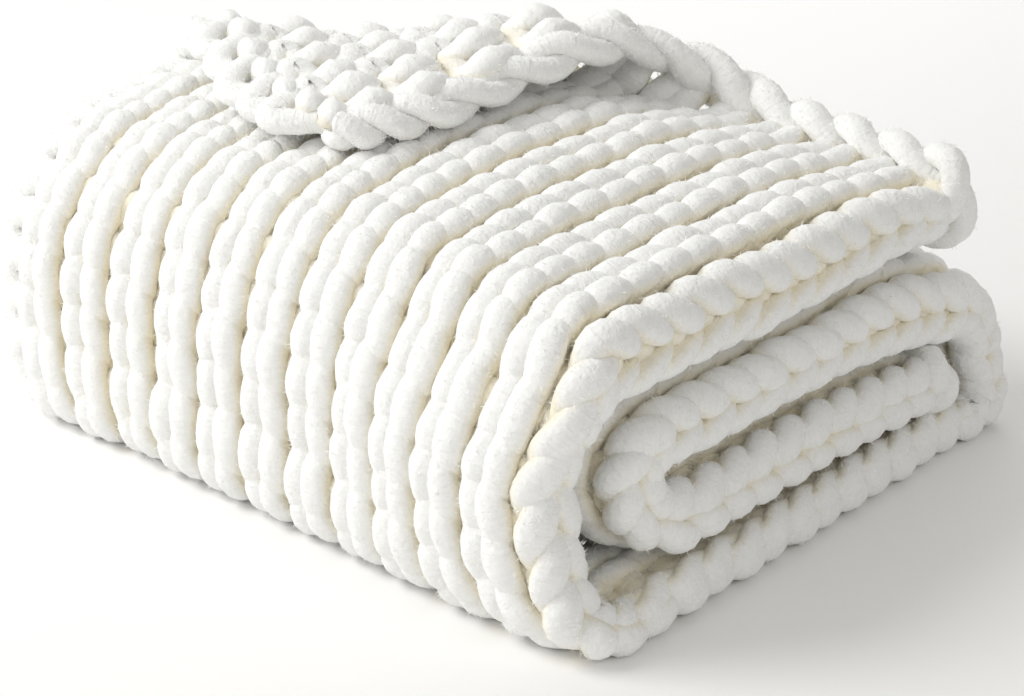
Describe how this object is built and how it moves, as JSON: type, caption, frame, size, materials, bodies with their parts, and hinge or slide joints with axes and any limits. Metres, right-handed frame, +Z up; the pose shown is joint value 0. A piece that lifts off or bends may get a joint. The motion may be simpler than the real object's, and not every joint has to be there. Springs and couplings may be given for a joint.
{
  "type": "folded chunky knit blanket",
  "caption": "Chunky chenille knit blanket folded into a soft rectangular pile, with one corner of the top layer turned back over it.",
  "frame": {"origin": "middle of the pile's footprint, on the surface that it rests on", "axes": "+X across the ribs, towards the side where the cloth is folded in half; -Y towards the rounded front fold; +Z up"},
  "size_m": [0.6386, 0.5796, 0.3258],
  "materials": {
    "yarn": "matte"
  },
  "bodies": {
    "root": {"blanket": "yarn"}
  },
  "joints": []
}
